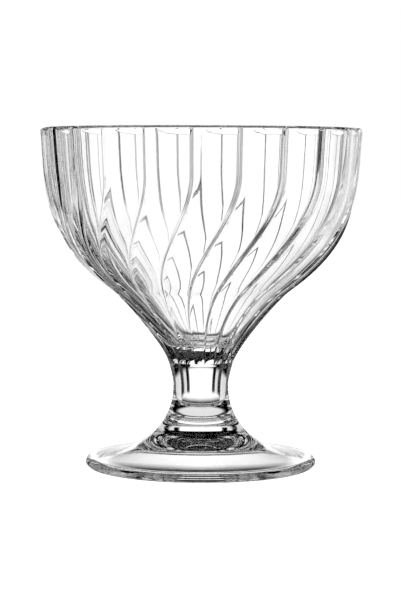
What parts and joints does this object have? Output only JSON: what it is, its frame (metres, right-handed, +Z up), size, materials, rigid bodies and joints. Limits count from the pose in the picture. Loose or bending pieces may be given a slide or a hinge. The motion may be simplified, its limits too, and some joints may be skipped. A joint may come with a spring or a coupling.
{
  "type": "footed dessert glass",
  "caption": "Clear pressed-glass dessert coupe: a wide bowl with swirled outside ribs on a short waisted stem and a domed disc foot.",
  "frame": {"origin": "centre of the foot's resting ring, on the surface the glass stands on", "axes": "+Z up along the glass's axis, -Y towards the viewer of the picture, +X to that viewer's right"},
  "size_m": [0.1048, 0.105, 0.111],
  "materials": {
    "bowl_glass": "clear fire-polished pressed glass",
    "stem_glass": "clear polished glass",
    "foot_glass": "clear polished glass"
  },
  "bodies": {
    "root": {"bowl": "bowl_glass", "stem": "stem_glass", "foot": "foot_glass"}
  },
  "joints": []
}
